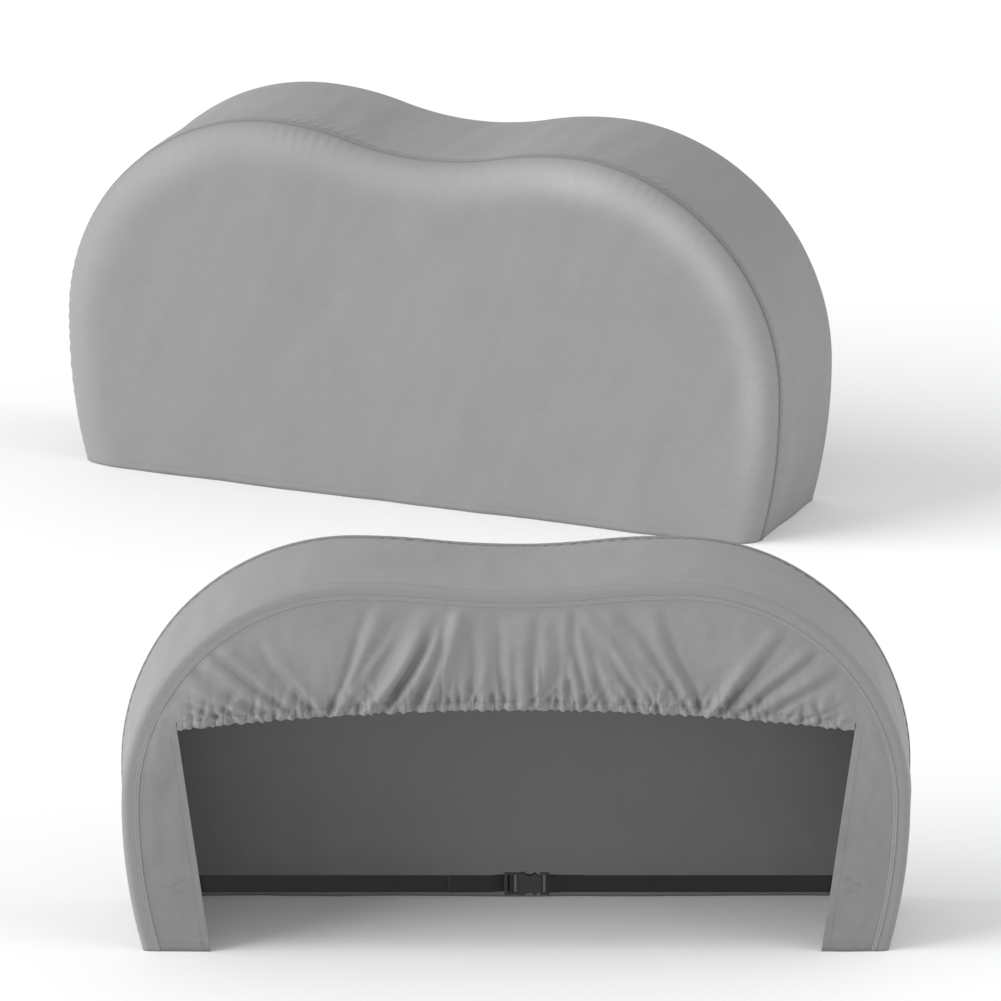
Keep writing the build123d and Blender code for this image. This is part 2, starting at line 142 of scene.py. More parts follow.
# --- Cover cloth ---
# Grey woven polyester with a coated back: a fine plain weave with a slight mottle and a dull
# sheen outside, and a smoother, darker coating inside. Colours are scene-linear.
CLOTH_GREY = (0.243, 0.243, 0.243, 1)
LINING_GREY = (0.165, 0.165, 0.166, 1)
CLOTH = 0.002
THREAD_PITCH = 0.0013


def new_group(name, inputs, outputs):
    group = bpy.data.node_groups.new(name, "ShaderNodeTree")
    for label, kind, value in inputs:
        socket = group.interface.new_socket(label, in_out="INPUT", socket_type=kind)
        socket.default_value = value
    for label, kind in outputs:
        group.interface.new_socket(label, in_out="OUTPUT", socket_type=kind)
    return group, group.nodes.new("NodeGroupInput"), group.nodes.new("NodeGroupOutput")


def calc(tree, operation, first, second=None):
    """A Math node: each value is a number or the socket that it comes from."""
    node = tree.nodes.new("ShaderNodeMath")
    node.operation = operation
    for socket, value in zip(node.inputs, (first, second)):
        if isinstance(value, (int, float)):
            socket.default_value = value
        elif value is not None:
            tree.links.new(value, socket)
    return node.outputs[0]


def dial(node, **values):
    """Sets a node's inputs by name. An underscore stands for a space."""
    for label, value in values.items():
        node.inputs[label.replace("_", " ")].default_value = value


def blotches(tree, coordinates, scale, detail=3.0, roughness=0.55):
    node = tree.nodes.new("ShaderNodeTexNoise")
    dial(node, Scale=scale, Detail=detail, Roughness=roughness)
    tree.links.new(coordinates, node.inputs["Vector"])
    return node.outputs["Fac"]


def weave_group():
    """Threads over and under, in the cloth's own directions, with a mottled tone, and the painted
    highlights, painted shade and random tone marked on each piece's points.
    """
    group, given, made = new_group(
        "plain weave",
        [
            ("Colour", "NodeSocketColor", CLOTH_GREY),
            ("Mottle", "NodeSocketFloat", 0.10),
            ("Thread pitch", "NodeSocketFloat", THREAD_PITCH),
            ("Roughness", "NodeSocketFloat", 0.6),
        ],
        [
            ("Colour", "NodeSocketColor"),
            ("Roughness", "NodeSocketFloat"),
            ("Height", "NodeSocketFloat"),
        ],
    )
    link = group.links.new
    uv = group.nodes.new("ShaderNodeUVMap")
    uv.uv_map = "cloth"
    place = group.nodes.new("ShaderNodeTexCoord").outputs["Object"]
    threads = []
    for direction in ("X", "Y"):
        wave = group.nodes.new("ShaderNodeTexWave")
        wave.bands_direction = direction
        dial(wave, Distortion=0.6, Detail=1.0, Detail_Scale=0.35)
        link(calc(group, "DIVIDE", math.pi / 10, given.outputs["Thread pitch"]), wave.inputs["Scale"])
        link(uv.outputs["UV"], wave.inputs["Vector"])
        threads.append(wave.outputs["Fac"])
    weave = calc(group, "MULTIPLY", threads[0], threads[1])
    fine = blotches(group, place, 190.0)
    slow = blotches(group, place, 9.0, 4.0)
    slubs = blotches(group, place, 60.0, 2.0)
    shade = calc(group, "MULTIPLY", calc(group, "SUBTRACT", fine, 0.5), 0.9)
    shade = calc(group, "ADD", shade, calc(group, "MULTIPLY", calc(group, "SUBTRACT", slow, 0.5), 0.7))
    shade = calc(group, "ADD", shade, calc(group, "MULTIPLY", calc(group, "SUBTRACT", slubs, 0.5), 0.5))
    shade = calc(group, "ADD", shade, calc(group, "MULTIPLY", calc(group, "SUBTRACT", weave, 0.25), 0.5))
    shade = calc(group, "ADD", calc(group, "MULTIPLY", shade, given.outputs["Mottle"]), 1.0)
    # Painted highlights and painted shade, with some random tone, marked on each piece's points, lighten or
    # darken the colour.
    light_and_tone_mark = group.nodes.new("ShaderNodeAttribute")
    light_and_tone_mark.attribute_name = "painted_light_and_tone"
    lighter = calc(group, "ADD", calc(group, "MULTIPLY", light_and_tone_mark.outputs["Fac"], 0.22), 1.0)
    shade = calc(group, "MULTIPLY", shade, lighter)
    tint = group.nodes.new("ShaderNodeVectorMath")
    tint.operation = "SCALE"
    link(given.outputs["Colour"], tint.inputs[0])
    link(shade, tint.inputs["Scale"])
    link(tint.outputs[0], made.inputs["Colour"])
    rough = calc(group, "ADD", given.outputs["Roughness"], calc(group, "MULTIPLY", slow, 0.12))
    link(calc(group, "SUBTRACT", rough, 0.06), made.inputs["Roughness"])
    grain = calc(group, "MULTIPLY", fine, 0.6)
    link(calc(group, "ADD", weave, grain), made.inputs["Height"])
    return group


weave = weave_group()


def new_material(name):
    material = bpy.data.materials.new(name)
    material.use_nodes = True
    tree = material.node_tree
    return material, tree, tree.nodes["Principled BSDF"]


def add_relief(tree, shader, height, strength, distance):
    """Fine relief, from a height that changes over the surface."""
    relief = tree.nodes.new("ShaderNodeBump")
    dial(relief, Strength=strength, Distance=distance)
    tree.links.new(height, relief.inputs["Height"])
    tree.links.new(relief.outputs["Normal"], shader.inputs["Normal"])


def cloth_material(name, colour, mottle, roughness, bump, pitch=THREAD_PITCH, sheen=0.14):
    """A woven finish: the weave's colour, roughness and relief on one plain shader."""
    material, tree, shader = new_material(name)
    threads = tree.nodes.new("ShaderNodeGroup")
    threads.node_tree = weave
    dial(threads, Colour=colour, Mottle=mottle, Thread_pitch=pitch, Roughness=roughness)
    tree.links.new(threads.outputs["Colour"], shader.inputs["Base Color"])
    tree.links.new(threads.outputs["Roughness"], shader.inputs["Roughness"])
    add_relief(tree, shader, threads.outputs["Height"], bump, 0.0006)
    dial(shader, Sheen_Weight=sheen, Sheen_Roughness=0.4)
    return material


cover_cloth = cloth_material("grey cover cloth", CLOTH_GREY, 0.16, 0.56, 0.45)
lining = cloth_material("coated back", LINING_GREY, 0.10, 0.48, 0.25, sheen=0.03)
thread = cloth_material("grey thread", (0.20, 0.20, 0.20, 1), 0.2, 0.6, 0.2, 0.0005)


# --- Front panel and its hem ---
# One piece of cloth over the tyres' outer faces. Its edge is drawn round to the seam, so it
# makes a broad soft roll on three sides, and its foot is turned up inside and stitched.
SEAM_DEPTH = 0.320
FACE_RISE = 0.0525
SOFT_ROLL = 0.112
ROLL_POWER = 2.25
FLAT_STEP = 0.011
HEM_HEIGHT = 0.022
HEM_CLOTH = 0.0015
STATIONS = 460
PUCKER_PITCH = 0.027
TYRE_SPACING = 0.855
TYRE_RADIUS = 0.386


def drift(seed, size, *along):
    """Slow, even randomness from about -1 to 1, at places given by one to three lengths."""
    along = np.broadcast_arrays(*along)
    flat = [a.ravel() / size for a in along] + [np.zeros(along[0].size)] * (3 - len(along))
    shift = Vector((seed * 3.7, seed * 1.9, seed * 5.3))
    found = [noise.noise(Vector(p) + shift) for p in zip(*flat)]
    return np.array(found).reshape(along[0].shape) * 1.6


def ease(value):
    """0 to 1, starting and ending gently."""
    value = np.clip(value, 0, 1)
    return value * value * (3 - 2 * value)


def grid_faces(rows, columns, closed=False):
    index = np.arange(rows * columns).reshape(rows, columns)
    if closed:
        index = np.vstack([index, index[:1]])
    faces = np.stack([index[:-1, :-1], index[1:, :-1], index[1:, 1:], index[:-1, 1:]], -1)
    faces = faces.reshape(-1, 4).tolist()
    if closed:
        faces += [index[:-1, 0].tolist(), index[:-1, -1][::-1].tolist()]
    return faces


def sew(name, points, faces, materials, uv=None, outward=None):
    """A mesh piece from its points and faces, its faces turned to the outward directions,
    or to the outside of a closed piece."""
    mesh = bpy.data.meshes.new(name)
    flat = np.asarray(points, float).reshape(-1, 3)
    if outward is not None:
        outward = np.asarray(outward, float).reshape(-1, 3)
        corners = np.array([face[:3] for face in faces])
        a, b, c = (flat[corners[:, n]] for n in range(3))
        if (np.cross(b - a, c - a) * outward[corners[:, 0]]).sum() < 0:
            faces = [face[::-1] for face in faces]
    mesh.from_pydata(flat.tolist(), [], faces)
    mesh.validate()
    if outward is None:
        solid = bmesh.new()
        solid.from_mesh(mesh)
        bmesh.ops.recalc_face_normals(solid, faces=solid.faces)
        solid.to_mesh(mesh)
        solid.free()
    if uv is not None:
        loops = np.empty(len(mesh.loops), np.int32)
        mesh.loops.foreach_get("vertex_index", loops)
        layer = mesh.uv_layers.new(name="cloth")
        layer.data.foreach_set("uv", np.asarray(uv, float).reshape(-1, 2)[loops].ravel())
    mesh.polygons.foreach_set("use_smooth", [True] * len(mesh.polygons))
    for material in materials:
        mesh.materials.append(material)
    piece = bpy.data.objects.new(name, mesh)
    bpy.context.scene.collection.objects.link(piece)
    return piece


def thicken(piece, thickness):
    """Cloth thickness, on the inside, with the coated back showing there."""
    layer = piece.modifiers.new("thickness", "SOLIDIFY")
    layer.thickness = thickness
    layer.offset = -1
    layer.material_offset = len(piece.data.materials) - 1
    return piece


def puckers(cover, travel, pitch, seed):
    """The small folds that a seam's thread draws up, from -1 to 1, stronger in places."""
    phase = 2 * math.pi * travel / pitch + 2.6 * drift(cover.seed + seed, 0.10, travel)
    strength = 0.3 + 0.7 * np.clip(0.35 + 1.3 * drift(cover.seed + seed + 1, 0.17, travel), 0, 1)
    return np.sin(phase) * strength * cover.pucker_and_shade


def seam_wander(cover, travel):
    return 0.0014 * drift(cover.seed + 40, 0.22, travel)


def paint_light_and_tone(piece, amount):
    """Marks how far the cloth is painted lighter (above 0) or darker (below 0) at each point: painted
    highlights, painted shade and some random tone.
    """
    layer = piece.data.attributes.new("painted_light_and_tone", "FLOAT", "POINT")
    layer.data.foreach_set("value", np.asarray(amount, np.float32).ravel())


def face_lift(cover, x, z, inset):
    """How far the face stands out from its smooth shape."""
    slow = 0.0028 * drift(cover.seed + 2, 0.30, x, z) + 0.0011 * drift(cover.seed + 3, 0.11, x, z)
    pull = 0.0016 * drift(cover.seed + 4, 0.055, x * 1.0 + z * 0.35, z * 0.28)
    hem = 0.0036 * drift(cover.seed + 6, 0.17, x) * np.exp(-z / 0.09)
    hubs = (-TYRE_SPACING / 2, TYRE_SPACING / 2)
    tyres = 0.0022 * sum(np.exp(-((x - hub) ** 2 + (z - TYRE_RADIUS) ** 2) / 0.09) for hub in hubs)
    settled = ease(inset / SOFT_ROLL)
    return (slow + 0.5 * pull + hem) * (0.25 + 0.75 * settled) + tyres * settled


def face_depth(inset):
    share = np.clip(inset / SOFT_ROLL, 0, 1)
    return SEAM_DEPTH + FACE_RISE * (1 - (1 - share) ** ROLL_POWER) ** (1 / ROLL_POWER)


def inside_loop(x, z, loop_x, loop_z):
    """Which points lie inside a closed loop."""
    inside = np.zeros(x.shape, bool)
    for n in range(len(loop_x)):
        x_1, z_1, x_2, z_2 = loop_x[n - 1], loop_z[n - 1], loop_x[n], loop_z[n]
        if z_1 == z_2:
            continue
        crosses = ((z_1 > z) != (z_2 > z)) & (x < (x_2 - x_1) * (z - z_1) / (z_2 - z_1) + x_1)
        inside ^= crosses
    return inside


def front_panel(cover):
    around = np.linspace(0, 1, STATIONS)
    turn = np.concatenate([np.linspace(0, math.pi / 2, 22), [math.pi / 2] * 3])
    inset = SOFT_ROLL * (1 - np.cos(turn))
    inset[-3:] += (0.008, 0.018, 0.030)
    around_grid, inset_grid = np.meshgrid(around, inset)
    turn_grid = np.broadcast_to(turn[:, None], around_grid.shape)
    travel = around_grid * edge_length(cover.sag)
    x, z, out_x, out_z = outline(cover.sag, around_grid, inset_grid)
    lift = face_lift(cover, x, z, inset_grid)
    drawn = 0.0017 * puckers(cover, travel, PUCKER_PITCH, 20) * np.exp(-inset_grid / 0.020)
    lift += drawn * ease(inset_grid / 0.004)
    at_seam = face_lift(cover, x[:1], z[:1], 0 * x[:1])
    lift += seam_wander(cover, travel) * np.exp(-inset_grid / 0.03) - at_seam * np.exp(-inset_grid / 0.02)
    points = cover.place(x, face_depth(inset_grid), z)
    rolled = (out_x * np.cos(turn_grid), np.sin(turn_grid), out_z * np.cos(turn_grid))
    points += cover.way(*rolled) * lift[..., None]
    outward = cover.way(out_x * np.cos(turn_grid), np.sin(turn_grid) + 0.05, out_z * np.cos(turn_grid))
    rings = around_grid.shape[0]
    faces = grid_faces(rings, STATIONS)

    # The flat middle: a lattice joined to the innermost ring.
    ring_x, ring_z = x[-1], z[-1]
    count = int((ring_x[-1] - ring_x[0]) / FLAT_STEP)
    foot_x = np.linspace(ring_x[-1], ring_x[0], count)[1:-1]
    loop_x, loop_z = np.concatenate([ring_x, foot_x]), np.concatenate([ring_z, 0 * foot_x])
    lattice = np.meshgrid(np.arange(-0.8, 0.8, FLAT_STEP), np.arange(FLAT_STEP * 0.8, 0.8, FLAT_STEP))
    middle_x, middle_z = (a.ravel() for a in lattice)
    keep = inside_loop(middle_x, middle_z, loop_x, loop_z)
    gap = np.hypot(middle_x[:, None] - ring_x[None], middle_z[:, None] - ring_z[None]).min(1)
    keep &= gap > 0.6 * FLAT_STEP
    flat_x = np.concatenate([loop_x, middle_x[keep]])
    flat_z = np.concatenate([loop_z, middle_z[keep]])
    corners = [Vector(p) for p in zip(flat_x, flat_z)]
    joined = delaunay_2d_cdt(corners, [], [list(range(len(loop_x)))], 1, 1e-7)
    used, triangles, came_from = joined[0], joined[2], joined[3]
    first_new = rings * STATIONS
    flat_index = {}
    extra = []
    for number, origins in enumerate(came_from):
        origin = min(origins) if origins else -1
        if 0 <= origin < STATIONS:
            flat_index[number] = first_new - STATIONS + origin
        else:
            flat_index[number] = first_new + len(extra)
            extra.append(tuple(used[number]))
    extra_x, extra_z = np.array(extra).T
    extra_lift = face_lift(cover, extra_x, extra_z, 0.2)
    extra_points = cover.place(extra_x, SEAM_DEPTH + FACE_RISE + extra_lift, extra_z)
    faces += [[flat_index[v] for v in face] for face in triangles]
    points = np.concatenate([points.reshape(-1, 3), extra_points])
    outward = np.concatenate([outward.reshape(-1, 3), cover.way(0 * extra_x, 1, 0)])
    # Each run of faces is turned out on its own, because the rings and the lattice may differ.
    corners = np.array([face[:3] for face in faces])
    a, b, c = (points[corners[:, n]] for n in range(3))
    wrong = (np.cross(b - a, c - a) * outward[corners[:, 0]]).sum(1) < 0
    faces = [face[::-1] if flip else face for face, flip in zip(faces, wrong)]
    ring_uv = np.stack([x.ravel(), (z + inset_grid * 0).ravel()], 1)
    uv = np.concatenate([ring_uv, np.stack([extra_x, extra_z], 1)])
    piece = sew(f"{cover.name}_front_panel_cloth", points, faces, [cover_cloth, lining], uv, outward)
    # Painted highlight along the soft roll, stronger higher up and on the shoulder at negative x.
    uneven = 0.75 + 0.25 * drift(cover.seed + 5, 0.2, travel)
    painted_highlight_and_seam_shade = np.exp(-(((inset_grid - 0.042) / 0.036) ** 2)) * uneven
    painted_highlight_and_seam_shade = painted_highlight_and_seam_shade * (0.55 + 0.45 * ease(z / 0.35)) * (0.78 + 1.9 * ease(-x / 0.5))
    # Painted shade in a thin line right at the seam.
    painted_highlight_and_seam_shade -= 1.2 * np.exp(-((inset_grid / 0.0011) ** 2))
    paint_light_and_tone(piece, np.concatenate([painted_highlight_and_seam_shade.ravel(), 0 * extra_x]))
    return piece


def front_hem(cover):
    """The turned-up foot of the front panel, against its inside."""
    x = np.linspace(-0.7, 0.7, 280)
    z = np.linspace(0.0008, HEM_HEIGHT, 6)
    x_grid, z_grid = np.meshgrid(x, z)
    inset = HALF_WIDTH - TUCK - np.abs(x_grid)
    depth = face_depth(inset) + face_lift(cover, x_grid, z_grid, inset) - CLOTH - 0.0002
    points = cover.place(x_grid, depth, z_grid)
    uv = np.stack([x_grid, z_grid], -1)
    piece = sew(
        f"{cover.name}_front_hem_cloth",
        points,
        grid_faces(*x_grid.shape),
        [lining],
        uv,
        np.broadcast_to(cover.way(0, 1, 0), points.shape),
    )
    return thicken(piece, HEM_CLOTH)


def fit(piece, cover, stands_for):
    """The piece rides with its cover and takes the place of one plain solid."""
    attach(piece, cover.name)
    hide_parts(f"{cover.name}_{stands_for}")
    return piece


def stitch_row(points, up, pitch=0.006, length=0.0042, width=0.0011):
    """Stitches along a line on cloth: points on the cloth, and its outward direction or
    directions."""
    up = np.broadcast_to(up, points.shape)
    step = np.linalg.norm(np.diff(points, axis=0), axis=1)
    travel = np.concatenate([[0], np.cumsum(step)])
    places = np.arange(pitch, travel[-1] - pitch / 2, pitch)

    def at(values):
        return np.stack([np.interp(places, travel, values[:, n]) for n in range(3)], 1)

    ahead = at(np.gradient(points, axis=0))
    ahead /= np.linalg.norm(ahead, axis=1)[:, None]
    top = at(up)
    top /= np.linalg.norm(top, axis=1)[:, None]
    across = np.cross(ahead, top)
    middle = at(points)
    corners = [
        middle + ahead * length / 2,
        middle + across * width / 2,
        middle - ahead * length / 2,
        middle - across * width / 2,
        middle + top * width * 0.55,
        middle - top * width * 0.4,
    ]
    return np.stack(corners, 1)


STITCH_FACES = np.array(
    [(0, 1, 4), (1, 2, 4), (2, 3, 4), (3, 0, 4), (1, 0, 5), (2, 1, 5), (3, 2, 5), (0, 3, 5)]
)


def stitches(cover, name, rows, body=None):
    """All the stitches of one seam, as one piece that rides with the cover."""
    corners = np.concatenate(rows)
    first = np.arange(len(corners))[:, None, None] * 6
    faces = (first + STITCH_FACES[None]).reshape(-1, 3).tolist()
    piece = sew(f"{cover.name}_{name}", corners, faces, [thread])
    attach(piece, body or cover.name)
    return piece


for cover in COVERS:
    panel = fit(thicken(front_panel(cover), CLOTH), cover, "front_panel")
    hem = fit(front_hem(cover), cover, "front_hem")
    line_x = np.linspace(-0.69, 0.69, 500)
    line_z = np.full(line_x.shape, HEM_HEIGHT - 0.004)
    line_inset = HALF_WIDTH - TUCK - np.abs(line_x)
    line_depth = face_depth(line_inset) + face_lift(cover, line_x, line_z, line_inset)
    row = stitch_row(cover.place(line_x, line_depth, line_z), cover.way(0, 1, 0))
    hem_stitches = stitches(cover, "front_hem_stitches", [row])


# --- Band, with the seams along its two edges ---
# A long strip of the same cloth over both tyres. It turns over the tyres' rear edge in a small
# roll and is felled to the rear panel there, and in front it is felled to the front panel.
RIM_ROLL = 0.014
RIM_WIDTH = 0.032
WELT_WIDTH = 0.010


def band_lift(cover, travel, depth):
    """How far the band stands out: slack between the seams, and puckers at the front seam."""
    free = ease(depth / 0.07) * ease((SEAM_DEPTH - 0.012 - depth) / 0.06)
    slack = 0.0034 * drift(cover.seed + 8, 0.21, travel, depth * 1.3)
    ripples = 0.0019 * drift(cover.seed + 9, 0.05, travel, depth * 0.22)
    near_seam = np.exp(-np.maximum(SEAM_DEPTH - WELT_WIDTH - depth, 0) / 0.036)
    slant = travel + 0.35 * (SEAM_DEPTH - depth)
    drawn = 0.0023 * puckers(cover, slant, PUCKER_PITCH, 20) * near_seam
    drawn = drawn * ease((SEAM_DEPTH - 0.001 - depth) / 0.010)
    return (slack + ripples) * free + drawn + seam_wander(cover, travel) * ease(depth / SEAM_DEPTH)


def band(cover):
    around = np.linspace(0, 1, STATIONS)
    by_seam = [SEAM_DEPTH + n for n in (0.001, -0.0005, -0.005, -0.0095, -0.0105, -0.012, -0.015)]
    side = np.concatenate([by_seam, np.linspace(SEAM_DEPTH - 0.020, RIM_ROLL, 42)])
    turn = np.linspace(0, math.pi / 2, 8)[1:]
    rim = np.linspace(RIM_ROLL, RIM_WIDTH, 5)[1:]
    depth = np.concatenate([side, RIM_ROLL * (1 - np.sin(turn)), 0 * rim])
    inset = np.concatenate([0 * side, RIM_ROLL * (1 - np.cos(turn)), rim])
    bend = np.concatenate([0 * side, turn, 0 * rim + math.pi / 2])[:, None]
    around_grid, depth_grid = np.meshgrid(around, depth)
    travel = around_grid * edge_length(cover.sag)
    x, z, out_x, out_z = outline(cover.sag, around_grid, inset[:, None])
    lift = band_lift(cover, travel, depth_grid)
    outward = cover.way(out_x * np.cos(bend), -np.sin(bend) + 0 * out_x, out_z * np.cos(bend))
    points = cover.place(x, depth_grid, z) + outward * lift[..., None]
    points[..., 2] = np.maximum(points[..., 2], 0.0)
    points[:, [0, -1], 2] = 0.0
    across = np.concatenate([[0], np.cumsum(np.hypot(np.diff(depth), np.diff(inset)))])
    uv = np.stack([travel, np.broadcast_to(across[:, None], travel.shape)], -1)
    name = f"{cover.name}_band_cloth"
    piece = sew(name, points, grid_faces(*travel.shape), [cover_cloth, lining], uv, outward)
    # Painted shade in a line beside the front seam's welt, darker where the seam puckers more, and the
    # band's side painted slightly lighter higher up.
    painted_seam_shade = np.exp(-(((SEAM_DEPTH - 0.0124 - depth_grid) / 0.0042) ** 2))
    paint_light_and_tone(piece, -1.9 * cover.pucker_and_shade * painted_seam_shade + 0.25 * ease(0.5 - bend / 2) * ease(z / 0.6))
    return piece


def ring_welt(cover, name, section, middle, normals_at):
    """A felled seam: a narrow raised strip along the outline. section is its (across, proud)
    corners, and middle gives the strip's line for each across."""
    around = np.linspace(0, 1, STATIONS)
    travel = around * edge_length(cover.sag)
    points = []
    for across, proud in section:
        place, outward = normals_at(around, travel, middle + across)
        points.append(place + outward * proud)
    points = np.array(points)
    points[:, [0, -1], 2] = 0.0
    uv = np.stack(np.broadcast_arrays(travel[None], np.array([s[0] for s in section])[:, None]), -1)
    faces = grid_faces(len(section), STATIONS, True)
    piece = sew(f"{cover.name}_{name}", points, faces, [cover_cloth], uv)
    # Painted shade along the welt's low edges and a painted highlight along its raised middle.
    low = np.array([s[1] for s in section]) / max(s[1] for s in section)
    paint_light_and_tone(piece, np.broadcast_to(np.where(low < 0.7, -0.9, 0.7)[:, None], (len(section), STATIONS)))
    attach(piece, cover.name)
    return piece


def welt_section(width, proud, dip):
    """A felled seam's section: rounded edges, and a slight dip between its two stitch rows."""
    half = width / 2
    across = np.array([-1, -0.97, -0.86, -0.6, -0.25, 0, 0.25, 0.6, 0.86, 0.97, 1]) * half
    height = np.array([-0.3, 0.55, 0.95, 1.0, 1 - dip * 0.7, 1 - dip, 1 - dip * 0.7, 1.0, 0.95, 0.55, -0.3])
    return list(zip(across, height * proud)) + [(half * 0.9, -0.0008), (-half * 0.9, -0.0008)]


for cover in COVERS:
    piece = fit(thicken(band(cover), CLOTH), cover, "band")

    def on_band(around, travel, depth, cover=cover):
        x, z, out_x, out_z = outline(cover.sag, around)
        outward = cover.way(out_x, 0 * out_x, out_z)
        lift = seam_wander(cover, travel) + 0.0002 * puckers(cover, travel, 0.021, 20)
        return cover.place(x, depth, z) + outward * lift[:, None], outward

    def on_rim(around, travel, inset, cover=cover):
        x, z, _, _ = outline(cover.sag, around, inset)
        outward = np.broadcast_to(cover.out, (len(x), 3))
        lift = 0.0003 * puckers(cover, travel, 0.024, 30)
        return cover.place(x, 0 * x, z) + outward * lift[:, None], outward

    front_welt = ring_welt(
        cover,
        "front_seam_welt",
        welt_section(0.0106, 0.0021, 0.45),
        SEAM_DEPTH - WELT_WIDTH / 2,
        on_band,
    )
    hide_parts(f"{cover.name}_front_seam")
    rear_welt = ring_welt(
        cover, "rear_seam_welt", welt_section(WELT_WIDTH, 0.0015, 0.4), RIM_WIDTH, on_rim
    )
    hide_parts(f"{cover.name}_rear_seam")
    stations = np.linspace(0, 1, 900)
    travel = stations * edge_length(cover.sag)
    sewn = []
    for across in (-0.0031, 0.0031):
        place, outward = on_band(stations, travel, SEAM_DEPTH - WELT_WIDTH / 2 + across)
        sewn.append(stitch_row(place + outward * 0.0020, outward))
        place, outward = on_rim(stations, travel, RIM_WIDTH + across)
        sewn.append(stitch_row(place + outward * 0.0015, outward))
    seam_stitches = stitches(cover, "seam_stitches", sewn)


# --- Rear panel ---
# The hood above the opening and the flap down each side of it are one piece of cloth. The
# elastic gathers the hood's lower edge, so close ruffles run into long folds that fan out to
# the outer seam, and the flaps hang almost flat.
OPENING_FOOT = 0.651
OPENING_TOP = 0.721
HOOD_EDGE_END = 0.495
HOOD_EDGE_MIDDLE = 0.541
HOOD_RISE = HOOD_EDGE_MIDDLE - HOOD_EDGE_END
HOOD_RADIUS = (OPENING_TOP**2 + HOOD_RISE**2) / (2 * HOOD_RISE)
HOOD_FOOT = 0.44
STRAP_HEIGHT = 0.150
RUFFLE_PITCH = 0.0215
PANEL_ROWS = 52
HOOD_COLUMNS = 760
FLAP_COLUMNS = 40


def opening_edge(z):
    """How far the opening's side is from the middle, at height z."""
    return OPENING_FOOT + (OPENING_TOP - OPENING_FOOT) * z / HOOD_EDGE_END


def hem_height(x):
    """Height of the gathered edge at x."""
    x = np.clip(x, -OPENING_TOP, OPENING_TOP)
    return HOOD_EDGE_MIDDLE - HOOD_RADIUS + np.sqrt(HOOD_RADIUS**2 - x**2)


def fold_lean(x):
    """How far sideways a fold that starts at x on the gathered edge runs, for each unit up."""
    size = abs(x)
    if size < 0.10:
        lean = 0.0
    elif size < 0.40:
        lean = -min((size - 0.10) / 0.24, 0.85)
    else:
        lean = min(0.7 + (size - 0.40) * 9.0, 1.95)
    return lean if x > 0 else -lean


def hood_folds(cover):
    """The hood's long folds, each as start, lean, reach, width and height."""
    chance = np.random.default_rng(cover.seed)
    folds = []
    start = -0.70
    while start < 0.70:
        size = abs(start)
        strong = chance.random() < 0.6
        reach = chance.uniform(0.22, 0.34) if strong else chance.uniform(0.10, 0.19)
        reach *= 1.0 if size < 0.5 else 0.6
        width = chance.uniform(0.010, 0.016) if strong else chance.uniform(0.006, 0.010)
        height = chance.uniform(0.0060, 0.0094) if strong else chance.uniform(0.003, 0.005)
        folds.append((start, fold_lean(start) + chance.uniform(-0.09, 0.09), reach, width, height))
        start += chance.uniform(0.032, 0.048) if strong else chance.uniform(0.018, 0.030)
    start = -0.69
    while start < 0.69:
        lean = chance.choice((-1.0, 1.0)) * chance.uniform(0.3, 1.0)
        reach, width = chance.uniform(0.05, 0.10), chance.uniform(0.006, 0.008)
        folds.append((start, lean, reach, width, chance.uniform(0.003, 0.0045)))
        start += chance.uniform(0.018, 0.034)
    folds += [
        (0.048, 0.05, 0.30, 0.024, 0.010), (-0.388, 0.52, 0.28, 0.012, 0.009),
        (-0.402, -0.75, 0.20, 0.012, 0.008), (0.384, -0.52, 0.28, 0.012, 0.009),
        (0.402, 0.75, 0.20, 0.013, 0.008), (-0.326, 0.80, 0.32, 0.018, 0.010),
        (0.318, -0.80, 0.31, 0.018, 0.010), (-0.262, 0.66, 0.32, 0.015, 0.008),
        (-0.198, 0.42, 0.33, 0.014, 0.008), (0.252, -0.62, 0.31, 0.015, 0.008),
    ]
    return folds


